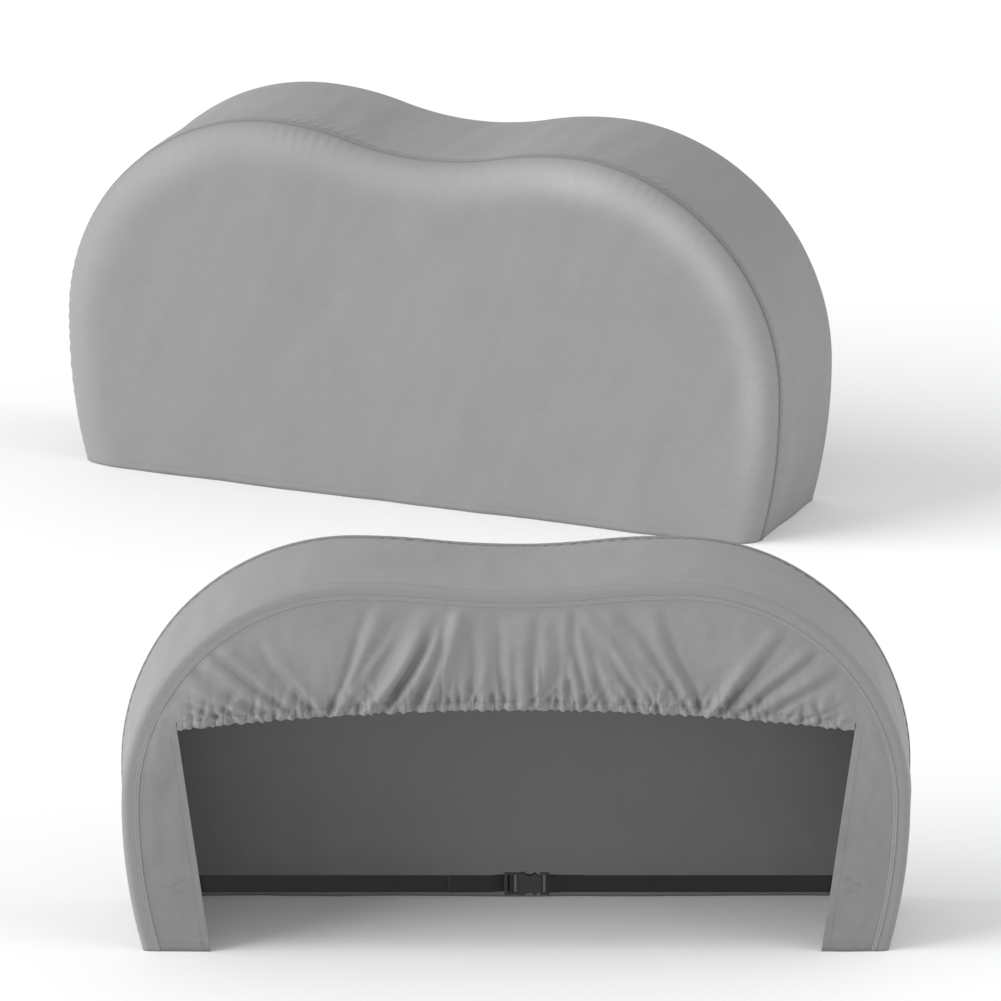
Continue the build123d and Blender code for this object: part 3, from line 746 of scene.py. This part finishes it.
def rear_lift(cover, folds, x, z, share):
    """How far the rear panel stands out. share is 0 at the outer seam and 1 at the opening."""
    above = np.maximum(z - hem_height(x), 0)
    gathered = ease((OPENING_TOP + 0.004 - np.abs(x)) / 0.045) * (z > HOOD_FOOT)
    anchored = ease(share / 0.20)
    phase = 2 * math.pi * x / RUFFLE_PITCH + 2.2 * drift(cover.seed + 12, 0.045, x)
    curl = 1.5 * drift(cover.seed + 18, 0.024, x, above * 1.2) * ease(above / 0.02)
    uneven = 0.70 + 0.40 * drift(cover.seed + 13, 0.03, x)
    ruffle = (1.6 * np.abs(np.sin((phase + curl) / 2)) ** 0.6 - 0.95) * uneven
    tall = 0.041 + 0.014 * drift(cover.seed + 19, 0.024, x)
    lift = 0.0050 * ruffle * np.exp(-((above / tall) ** 2.0))
    twisted = phase * 1.63 + 2.4 * drift(cover.seed + 22, 0.03, x, above)
    crinkle = np.abs(np.sin(0.5 * twisted)) ** 0.7 - 0.6
    lift += 0.0028 * crinkle * uneven * np.exp(-((above / (tall * 0.85)) ** 2.0))
    pairs = np.abs(np.sin(phase / 4 + 1.1 * drift(cover.seed + 14, 0.09, x))) ** 0.7 - 0.55
    lift += 0.0055 * pairs * np.exp(-((above / 0.066) ** 1.7))
    for start, lean, reach, width, height in folds:
        along = above / reach
        line = start + lean * above * (1 - 0.18 * along) + 0.007 * drift(start * 90, 0.09, above)
        away = (x - line) / math.sqrt(1 + lean**2) / (width * (0.75 + 0.9 * np.clip(along, 0, 1)))
        side = 1.0 if start > 0 else -1.0
        shape = np.exp(-(away**2)) - 0.85 * np.exp(-((away - 1.35 * side) ** 2) / 0.45)
        dies = np.clip(1 - along**2.4, 0, 1) ** 1.3 * (0.55 + 0.45 * ease(above / 0.03))
        lift += height * shape * dies
    puff = 0.0075 * np.sin(math.pi * np.clip(share, 0, 1) ** 1.2) * (z > HOOD_FOOT)
    puff = puff * ease((0.75 - np.abs(x)) / 0.15)
    lift = (lift * gathered + puff) * anchored
    flat = 1 - np.exp(-(((z - STRAP_HEIGHT) / 0.07) ** 2))
    hang = 0.0032 * (0.6 + drift(cover.seed + 15, 0.13, x, z))
    hang = hang + 0.0012 * drift(cover.seed + 16, 0.045, x, z)
    drawn = 0.0010 * np.exp(-((np.abs(x) - 0.72) / 0.05) ** 2) * (1 + np.sin(z * 260 + np.abs(x) * 60))
    drawn *= np.exp(-(((z - STRAP_HEIGHT) / 0.06) ** 2))
    flaps = (np.maximum(hang, 0) * flat + drawn) * (1 - gathered)
    lift += flaps * ease(share / 0.4)
    small = 0.0009 * drift(cover.seed + 17, 0.028, x, z) * ease(share / 0.2)
    return lift + small * np.where(np.abs(z - STRAP_HEIGHT) < 0.05, 0.2, 1.0)


def rear_panel(cover, folds):
    """Columns run from the outer seam to the opening: up the left flap, over the hood and down
    the right flap. The hood's last rows lie inside the casing."""
    stations = np.linspace(0, 0.5, 4000)
    corner = float(np.interp(0.52, outline(cover.sag, stations, RIM_WIDTH)[1], stations))
    rise = np.linspace(0, 1, FLAP_COLUMNS)
    step = np.linspace(0, 1, 7)[1:-1]
    inside = 0.017
    flap_x = -(OPENING_FOOT + (OPENING_TOP - OPENING_FOOT) * rise)
    flap_z = HOOD_EDGE_END * rise
    half = math.asin(OPENING_TOP / HOOD_RADIUS)
    angle = np.linspace(-half, half, HOOD_COLUMNS)
    hood_x = (HOOD_RADIUS + inside) * np.sin(angle)
    hood_z = HOOD_EDGE_MIDDLE - HOOD_RADIUS + (HOOD_RADIUS + inside) * np.cos(angle)
    step_x = flap_x[-1] + (hood_x[0] - flap_x[-1]) * step
    step_z = flap_z[-1] + (hood_z[0] - flap_z[-1]) * step
    inner_x = np.concatenate([flap_x, step_x, hood_x, -step_x[::-1], -flap_x[::-1]])
    inner_z = np.concatenate([flap_z, step_z, hood_z, step_z[::-1], flap_z[::-1]])
    low = np.concatenate([corner * 0.96 * rise, corner * (0.96 + 0.04 * step)])
    around = np.concatenate([low, np.linspace(corner, 1 - corner, HOOD_COLUMNS), 1 - low[::-1]])
    outer_x, outer_z, _, _ = outline(cover.sag, around, RIM_WIDTH - 0.001)
    share = (1 - (1 - np.linspace(0, 1, PANEL_ROWS)) ** 1.25)[:, None]
    x = outer_x + (inner_x - outer_x) * share
    z = outer_z + (inner_z - outer_z) * share
    lift = rear_lift(cover, folds, x, z, share + 0 * x)
    points = cover.place(x, -lift, z)
    outward = np.broadcast_to(cover.out, points.shape)
    uv = np.stack([x, z], -1)
    name = f"{cover.name}_rear_panel_cloth"
    piece = sew(name, points, grid_faces(*x.shape), [cover_cloth, lining], uv, outward)
    # The cloth is painted darker towards the bottom, over the flaps, and given a slight random mottle.
    paint_light_and_tone(piece, -0.55 * (1 - ease((z - 0.30) / 0.28)) + 0.12 * drift(cover.seed + 21, 0.06, x, z))
    return piece


folds_of = {}
for cover in COVERS:
    folds_of[cover.name] = hood_folds(cover)
    cloth = thicken(rear_panel(cover, folds_of[cover.name]), CLOTH)
    fit(cloth, cover, "rear_panel")


# --- Gathered edge: casing and elastic ---
# The hood's lower edge is folded over the elastic and stitched down above it. The elastic is
# shorter than the cloth, so the casing ruffles and its lower edge scallops.
CASING_HEIGHT = 0.024
CASING_STATIONS = 1100


def hood_line(cover, folds, x, above):
    """Depth and height of the hood's outer face, that far above the gathered edge."""
    z = hem_height(x) + above
    lift = rear_lift(cover, folds, x, z, 1.0 + 0 * x)
    return -lift, z


def along_hood(cover, folds, name, section, material):
    """A closed piece along the gathered edge. section is its corners as (above the edge, out
    from the hood's face)."""
    x = np.linspace(-OPENING_TOP, OPENING_TOP, CASING_STATIONS)
    scallop = 0.0016 * np.sin(2 * math.pi * x / RUFFLE_PITCH + 2.2 * drift(cover.seed + 12, 0.045, x))
    points, uv = [], []
    for above, out in section:
        depth, z = hood_line(cover, folds, x, above)
        z = z + scallop * (1 - above / CASING_HEIGHT)
        points.append(cover.place(x, depth - out, z))
        uv.append(np.stack([x, np.full(x.shape, above)], -1))
    return sew(name, points, grid_faces(len(section), CASING_STATIONS, True), [material], uv)


elastic_band = cloth_material("white elastic", (0.55, 0.55, 0.53, 1), 0.2, 0.7, 0.6, 0.001)
casings = {}
for cover in COVERS:
    folds = folds_of[cover.name]
    turned = [
        (0.0250, -0.0004), (0.0249, 0.0003), (0.0240, 0.0007), (0.0225, 0.0006), (0.0205, 0.0003),
        (0.0185, 0.0007), (0.0160, 0.0014), (0.0120, 0.0020), (0.0080, 0.0019), (0.0045, 0.0013),
        (0.0018, 0.0004), (0.0003, -0.0012), (0.0006, -0.0032), (0.0030, -0.0050), (0.0080, -0.0060),
        (0.0140, -0.0060), (0.0195, -0.0048), (0.0235, -0.0035), (0.0248, -0.0025),
    ]
    casing = along_hood(cover, folds, f"{cover.name}_casing_cloth", turned, cover_cloth)
    fit(casing, cover, "hood_casing")
    flat_elastic = [(0.0165, -0.0024), (0.0165, -0.0038), (0.0050, -0.0034), (0.0050, -0.0020)]
    elastic = along_hood(cover, folds, f"{cover.name}_elastic", flat_elastic, elastic_band)
    fit(elastic, cover, "hood_elastic")
    line_x = np.linspace(-OPENING_TOP + 0.004, OPENING_TOP - 0.004, 1500)
    depth, z = hood_line(cover, folds, line_x, 0.0205)
    row = stitch_row(cover.place(line_x, depth - 0.0008, z), cover.out)
    casings[cover.name] = [casing, stitches(cover, "casing_stitches", [row])]


# --- Flap edges, bottom hems and strap patches ---
# Each flap's edge beside the opening and its foot are turned in and stitched, and a square of
# the same cloth, sewn inside the flap, takes the strap's pull.
FACING_WIDTH = 0.020
PATCH_SIZE = 0.060
UNDER = CLOTH + 0.0001


def flap_share(x, z, sag):
    """0 at the outer seam and 1 at the opening, across a flap."""
    stations = np.linspace(0, 0.5, 1500)
    outer_x, outer_z, _, _ = outline(sag, stations, RIM_WIDTH)
    seam = np.abs(np.interp(z, outer_z, outer_x))
    return np.clip((seam - np.abs(x)) / (seam - opening_edge(z)), 0, 1)


def inside_flap(cover, name, x, z, under, thickness, material):
    """A layer on a flap's inside, that far under the flap's outer face."""
    share = flap_share(x, z, cover.sag)
    lift = rear_lift(cover, folds_of[cover.name], x, z, share)
    points = cover.place(x, under - lift, z)
    outward = np.broadcast_to(cover.out, points.shape)
    piece = sew(name, points, grid_faces(*x.shape), [material], np.stack([x, z], -1), outward)
    thicken(piece, thickness)
    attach(piece, cover.name)
    return piece


def flap_line(cover, x, z):
    """Points on a flap's outer face."""
    lift = rear_lift(cover, folds_of[cover.name], x, z, flap_share(x, z, cover.sag))
    return cover.place(x, -lift - 0.0002, z)


def side_hem(cover, side, name):
    """The turned-up foot of one flap and of the band beside it, as one strip inside both."""
    gap = CLOTH + 0.0002
    flap_x = np.linspace(OPENING_FOOT + FACING_WIDTH + 0.001, HALF_WIDTH - TUCK - RIM_WIDTH, 22)
    turn = np.linspace(0, math.pi / 2, 8)
    roll = RIM_ROLL - gap
    foot = HALF_WIDTH - TUCK
    rim_x = np.linspace(HALF_WIDTH - TUCK - RIM_WIDTH + 0.003, foot - RIM_ROLL, 4)
    line_x = np.concatenate([flap_x, rim_x, foot - RIM_ROLL + roll * np.sin(turn)[1:], [foot - gap] * 30])
    depth = np.concatenate(
        [
            np.full(26, gap),
            RIM_ROLL - roll * np.cos(turn)[1:],
            np.linspace(RIM_ROLL, SEAM_DEPTH - 0.004, 31)[1:],
        ]
    )
    z = np.linspace(0.0008, HEM_HEIGHT, 6)[:, None]
    first_part = np.linspace(0, 0.1, 200)
    around = np.interp(z, outline(cover.sag, first_part)[1], first_part)
    spread = outline(cover.sag, around)
    lean = np.abs(spread[0]) - foot
    share = flap_share(line_x[None], z, cover.sag)
    lift = rear_lift(cover, folds_of[cover.name], side * line_x[None] + 0 * z, z + 0 * line_x[None], share)
    on_flap = np.arange(line_x.size)[None] < 22
    x_grid = line_x[None] + lean * (np.arange(line_x.size)[None] >= 24)
    travel = (around if side < 0 else 1 - around) * edge_length(cover.sag)
    slack = band_lift(cover, travel + 0 * x_grid, depth[None] + 0 * z)
    x_grid = x_grid + slack * (np.arange(line_x.size)[None] >= 33)
    depth_grid = depth[None] - lift * on_flap
    points = cover.place(side * x_grid, depth_grid, z + 0 * x_grid)
    flat = np.sin(np.concatenate([np.full(26, 0.0), turn[1:], np.full(30, math.pi / 2)]))
    outward = cover.way(side * flat[None] + 0 * z, -np.sqrt(1 - flat**2)[None] + 0 * z, 0 * x_grid)
    uv = np.stack([x_grid, z + 0 * x_grid], -1)
    piece = sew(name, points, grid_faces(*x_grid.shape), [lining], uv, outward)
    thicken(piece, HEM_CLOTH)
    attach(piece, cover.name)
    return piece


for cover in COVERS:
    sewn_on = list(casings[cover.name])
    rows = []
    for side, side_name in ((-1, "left"), (1, "right")):
        z = np.linspace(0.0005, HOOD_EDGE_END - 0.001, 70)[:, None]
        x = side * (opening_edge(z) + np.linspace(0.0003, FACING_WIDTH, 6)[None])
        name = f"{cover.name}_{side_name}"
        facing = inside_flap(cover, f"{name}_facing_cloth", x, z + 0 * x, UNDER, 0.0018, lining)
        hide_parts(f"{name}_flap_facing")
        row_z = np.linspace(0.006, HOOD_EDGE_END - 0.006, 160)
        row_x = opening_edge(row_z) + FACING_WIDTH - 0.004
        rows.append(stitch_row(flap_line(cover, side * row_x, row_z), cover.out))
        inner = opening_edge(STRAP_HEIGHT + 0.03) + 0.0212
        x = side * (inner + np.linspace(0, PATCH_SIZE, 14)[None])
        z = STRAP_HEIGHT + np.linspace(-PATCH_SIZE / 2, PATCH_SIZE / 2, 14)[:, None]
        patch_name = f"{name}_patch_cloth"
        patch = inside_flap(cover, patch_name, x + 0 * z, z + 0 * x, UNDER, 0.0017, cover_cloth)
        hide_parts(f"{name}_strap_patch")
        box = 0.052
        left, right = inner + (PATCH_SIZE - box) / 2, inner + (PATCH_SIZE + box) / 2
        low, high = STRAP_HEIGHT - 0.016, STRAP_HEIGHT + 0.016
        for start, end in (
            ((left, low), (right, low)),
            ((right, low), (right, high)),
            ((right, high), (left, high)),
            ((left, high), (left, low)),
            ((left, low), (right, high)),
            ((left, high), (right, low)),
        ):
            row_x = np.linspace(start[0], end[0], 20)
            row_z = np.linspace(start[1], end[1], 20)
            rows.append(stitch_row(flap_line(cover, side * row_x, row_z), cover.out, 0.004, 0.003))
        hem = side_hem(cover, side, f"{name}_hem_cloth")
        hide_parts(f"{name}_hem")
        row_x = np.linspace(OPENING_FOOT + 0.004, HALF_WIDTH - TUCK - RIM_WIDTH - 0.008, 60)
        row_z = np.full(row_x.shape, HEM_HEIGHT - 0.004)
        rows.append(stitch_row(flap_line(cover, side * row_x, row_z), cover.out))
        sewn_on += [facing, patch, hem]
    sewn_on.append(stitches(cover, "flap_stitches", rows))


# --- Webbing straps ---
# Black woven polyester webbing, 38 mm wide. The left length comes from its flap, goes up
# through the plug's ladder and back as a free tail; the right length goes round the socket's
# end bar and is sewn back on itself.
STRAP_WIDTH = 0.038
STRAP_THICKNESS = 0.0018
STRAP_DEPTH = 0.0049
STRAP_OVERLAP = 0.078
BUCKLE_X = 0.007
LADDER_END = BUCKLE_X - 0.032
SOCKET_END = BUCKLE_X + 0.065
TIGHT = 0.0014
EASY = 0.020


def two_greys(tree, value, shader, dark, light):
    """A colour between two greys, as the value goes from 0 to 1."""
    shade = tree.nodes.new("ShaderNodeValToRGB")
    shade.color_ramp.elements[0].color = dark
    shade.color_ramp.elements[1].color = light
    tree.links.new(value, shade.inputs[0])
    tree.links.new(shade.outputs[0], shader.inputs["Base Color"])


def webbing_material():
    """Ribs across the webbing, and dust caught in the weave."""
    material, tree, shader = new_material("black webbing")
    uv = tree.nodes.new("ShaderNodeUVMap")
    uv.uv_map = "cloth"
    ribs = []
    for direction, pitch in (("X", 0.0021), ("Y", 0.0016)):
        wave = tree.nodes.new("ShaderNodeTexWave")
        wave.bands_direction = direction
        dial(wave, Scale=math.pi / 10 / pitch, Distortion=0.4)
        tree.links.new(uv.outputs["UV"], wave.inputs["Vector"])
        ribs.append(wave.outputs["Fac"])
    rib = calc(tree, "ADD", calc(tree, "MULTIPLY", ribs[0], 0.45), calc(tree, "MULTIPLY", ribs[1], 0.55))
    place = tree.nodes.new("ShaderNodeTexCoord").outputs["Object"]
    dust = blotches(tree, place, 45.0)
    dusty = calc(tree, "ADD", calc(tree, "MULTIPLY", rib, 0.6), calc(tree, "MULTIPLY", dust, 0.4))
    two_greys(tree, dusty, shader, (0.004, 0.004, 0.0036, 1), (0.017, 0.017, 0.0155, 1))
    tree.links.new(calc(tree, "ADD", calc(tree, "MULTIPLY", dust, 0.2), 0.5), shader.inputs["Roughness"])
    add_relief(tree, shader, rib, 0.6, 0.0005)
    dial(shader, Specular_IOR_Level=0.2)
    return material


def bent_line(points, radii, step=0.006):
    """A line through corners that are rounded to the radii given, with even points along it."""
    points = [np.array(p) for p in points]
    line = [points[0]]
    for before, corner, after, radius in zip(points, points[1:], points[2:], radii):
        back, ahead = before - corner, after - corner
        back, ahead = back / np.linalg.norm(back), ahead / np.linalg.norm(ahead)
        opening_angle = math.acos(np.clip(back @ ahead, -1, 1))
        cut = radius / math.tan(opening_angle / 2)
        middle = (back + ahead) / np.linalg.norm(back + ahead)
        centre = corner + middle * radius / math.sin(opening_angle / 2)
        first, last = corner + back * cut - centre, corner + ahead * cut - centre
        swing = math.pi - opening_angle
        turn_way = math.copysign(1, first[0] * last[1] - first[1] * last[0])
        for share in np.linspace(0, 1, max(4, int(swing / 0.25))):
            c, s = math.cos(turn_way * swing * share), math.sin(turn_way * swing * share)
            line.append(centre + np.array((c * first[0] - s * first[1], s * first[0] + c * first[1])))
    line.append(points[-1])
    full = [line[0]]
    for a, b in zip(line, line[1:]):
        parts = max(1, int(np.linalg.norm(b - a) / step))
        full += [a + (b - a) * n / parts for n in range(1, parts + 1)]
    return np.array(full)


def strap(cover, name, corners, radii, material):
    """Webbing along a line of (x, depth) places, with rounded selvedges."""
    line = bent_line(corners, radii)
    ahead = np.gradient(line, axis=0)
    ahead /= np.linalg.norm(ahead, axis=1)[:, None]
    travel = np.concatenate([[0], np.cumsum(np.linalg.norm(np.diff(line, axis=0), axis=1))])
    half_width, half_thick = STRAP_WIDTH / 2 - 0.0001, STRAP_THICKNESS / 2
    across = np.concatenate([np.linspace(-1, 1, 15), np.linspace(1, -1, 15)])
    face = np.concatenate([np.ones(15), -np.ones(15)])
    edge = np.clip(1 - np.abs(across) ** 10, 0, 1) ** 0.5
    points, uv = [], []
    for share, front, full in zip(across, face, edge):
        offset = front * half_thick * (0.25 + 0.75 * full)
        x = line[:, 0] - ahead[:, 1] * offset
        depth = line[:, 1] + ahead[:, 0] * offset
        z = STRAP_HEIGHT + share * half_width + 0 * x
        points.append(cover.place(x, depth, z))
        uv.append(np.stack([travel, z + 0.05 * front], -1))
    return sew(f"{cover.name}_{name}", points, grid_faces(30, len(line), True), [material], uv)


webbing = webbing_material()
for cover in COVERS:
    wrap = 0.0043
    layer = 0.0020
    start = opening_edge(STRAP_HEIGHT) + STRAP_OVERLAP
    rise_x = LADDER_END + 0.014 + 0.005 + 0.0004 + 0.0009
    fall_x = LADDER_END + 0.014 - 0.0004 - 0.0009
    adjusting = strap(
        cover,
        "adjusting_webbing",
        [
            (-start, STRAP_DEPTH),
            (LADDER_END - 0.030, STRAP_DEPTH),
            (LADDER_END - 0.002, STRAP_DEPTH + wrap + layer),
            (rise_x, STRAP_DEPTH + wrap + layer),
            (rise_x, STRAP_DEPTH - wrap),
            (fall_x, STRAP_DEPTH - wrap),
            (fall_x, STRAP_DEPTH + wrap),
            (LADDER_END - 0.002, STRAP_DEPTH + wrap),
            (LADDER_END - 0.030, STRAP_DEPTH - layer),
            (LADDER_END - 0.120, STRAP_DEPTH - layer),
        ],
        [EASY, EASY, TIGHT, TIGHT, TIGHT, TIGHT, EASY, EASY],
        webbing,
    )
    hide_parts(f"{cover.name}_adjusting_strap")
    cover.place(-0.62, STRAP_DEPTH, STRAP_HEIGHT)
    cover.place(-0.17, STRAP_DEPTH, STRAP_HEIGHT)
    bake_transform(adjusting)
    inside_bar = SOCKET_END - 0.007 - 0.0004 - 0.0009
    fixed = strap(
        cover,
        "fixed_webbing",
        [
            (start, STRAP_DEPTH),
            (SOCKET_END + 0.030, STRAP_DEPTH),
            (SOCKET_END + 0.002, STRAP_DEPTH - wrap),
            (inside_bar, STRAP_DEPTH - wrap),
            (inside_bar, STRAP_DEPTH + wrap),
            (SOCKET_END + 0.002, STRAP_DEPTH + wrap),
            (SOCKET_END + 0.030, STRAP_DEPTH + layer),
            (SOCKET_END + 0.075, STRAP_DEPTH + layer),
        ],
        [EASY, EASY, TIGHT, TIGHT, EASY, EASY],
        webbing,
    )
    fit(fixed, cover, "fixed_strap")


# --- Side-release buckle ---
# Black moulded acetal: a socket, and a plug with two spring latches and a guide tongue. The
# moulded shapes are kept, with a fine grain and duller and shinier patches.
def buckle_material():
    material, tree, shader = new_material("black acetal")
    place = tree.nodes.new("ShaderNodeTexCoord").outputs["Object"]
    grain = blotches(tree, place, 900.0, 2.0)
    wear = blotches(tree, place, 70.0)
    two_greys(tree, wear, shader, (0.007, 0.007, 0.0065, 1), (0.016, 0.016, 0.015, 1))
    tree.links.new(calc(tree, "ADD", calc(tree, "MULTIPLY", wear, 0.22), 0.26), shader.inputs["Roughness"])
    dial(shader, Specular_IOR_Level=0.35)
    add_relief(tree, shader, grain, 0.25, 0.0002)
    return material


acetal = buckle_material()
for cover in COVERS:
    for part in ("buckle_socket", "buckle_plug", "upper_latch_arm", "lower_latch_arm"):
        node = frame["nodes"][f"{cover.name}_{part}"]
        for slot_ in node.material_slots:
            slot_.material = acetal


# --- Room, light and camera ---
# A plain pale floor under soft studio light from the front left, and a long lens far away.
FLOOR_SIZE = 500.0
CAMERA_HEIGHT_DEG = 18.0
CAMERA_DISTANCE = 100.0
TARGET = np.array((0.039, 0.0, 0.404))


def floor_material():
    material, tree, shader = new_material("pale floor")
    place = tree.nodes.new("ShaderNodeTexCoord").outputs["Object"]
    cloudy = blotches(tree, place, 0.6)
    two_greys(tree, cloudy, shader, (0.945, 0.945, 0.945, 1), (0.965, 0.965, 0.965, 1))
    dial(shader, Roughness=0.9, Specular_IOR_Level=0.1)
    return material


edge = FLOOR_SIZE / 2
floor_points = [(-edge, -edge, 0), (edge, -edge, 0), (edge, edge, 0), (-edge, edge, 0)]
floor_points = np.array(floor_points) - (0, 0, 0.0005)
floor = sew("floor", floor_points, [[0, 1, 2, 3]], [floor_material()], outward=[UP] * 4)
floor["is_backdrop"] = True


def sun(name, azimuth, height, strength, angle):
    """A soft far light, azimuth degrees right of the viewer and height degrees up."""
    light = bpy.data.lights.new(name, "SUN")
    light.energy = strength
    light.angle = math.radians(angle)
    lamp = bpy.data.objects.new(name, light)
    a, h = math.radians(azimuth), math.radians(height)
    back = Vector((math.sin(a) * math.cos(h), -math.cos(a) * math.cos(h), math.sin(h)))
    lamp.rotation_euler = (-back).to_track_quat("-Z", "Y").to_euler()
    bpy.context.scene.collection.objects.link(lamp)


sun("key", -74, 23, 2.9, 50)
sun("fill", 76, 24, 0.85, 60)

world = bpy.data.worlds.new("studio")
bpy.context.scene.world = world
world.use_nodes = True
light_tree = world.node_tree
soft_light = light_tree.nodes["Background"]
dial(soft_light, Color=(1, 1, 1, 1), Strength=0.63)
backdrop = light_tree.nodes.new("ShaderNodeBackground")
dial(backdrop, Color=(1, 1, 1, 1))
seen = light_tree.nodes.new("ShaderNodeLightPath")
either = light_tree.nodes.new("ShaderNodeMixShader")
light_tree.links.new(seen.outputs["Is Camera Ray"], either.inputs[0])
light_tree.links.new(soft_light.outputs[0], either.inputs[1])
light_tree.links.new(backdrop.outputs[0], either.inputs[2])
light_tree.links.new(either.outputs[0], light_tree.nodes["World Output"].inputs["Surface"])

camera_data = bpy.data.cameras.new("camera")
camera_data.lens = 1660.0
camera_data.sensor_width = 36.0
camera_data.clip_start = 1.0
camera_data.clip_end = 1000.0
camera = bpy.data.objects.new("camera", camera_data)
bpy.context.scene.collection.objects.link(camera)
tilt = math.radians(CAMERA_HEIGHT_DEG)
back = Vector((0, -math.cos(tilt), math.sin(tilt)))
camera.location = Vector(TARGET) + back * CAMERA_DISTANCE
camera.rotation_euler = (-back).to_track_quat("-Z", "Y").to_euler()
bpy.context.scene.camera = camera
bpy.context.scene.view_settings.view_transform = "Standard"

low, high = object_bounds()
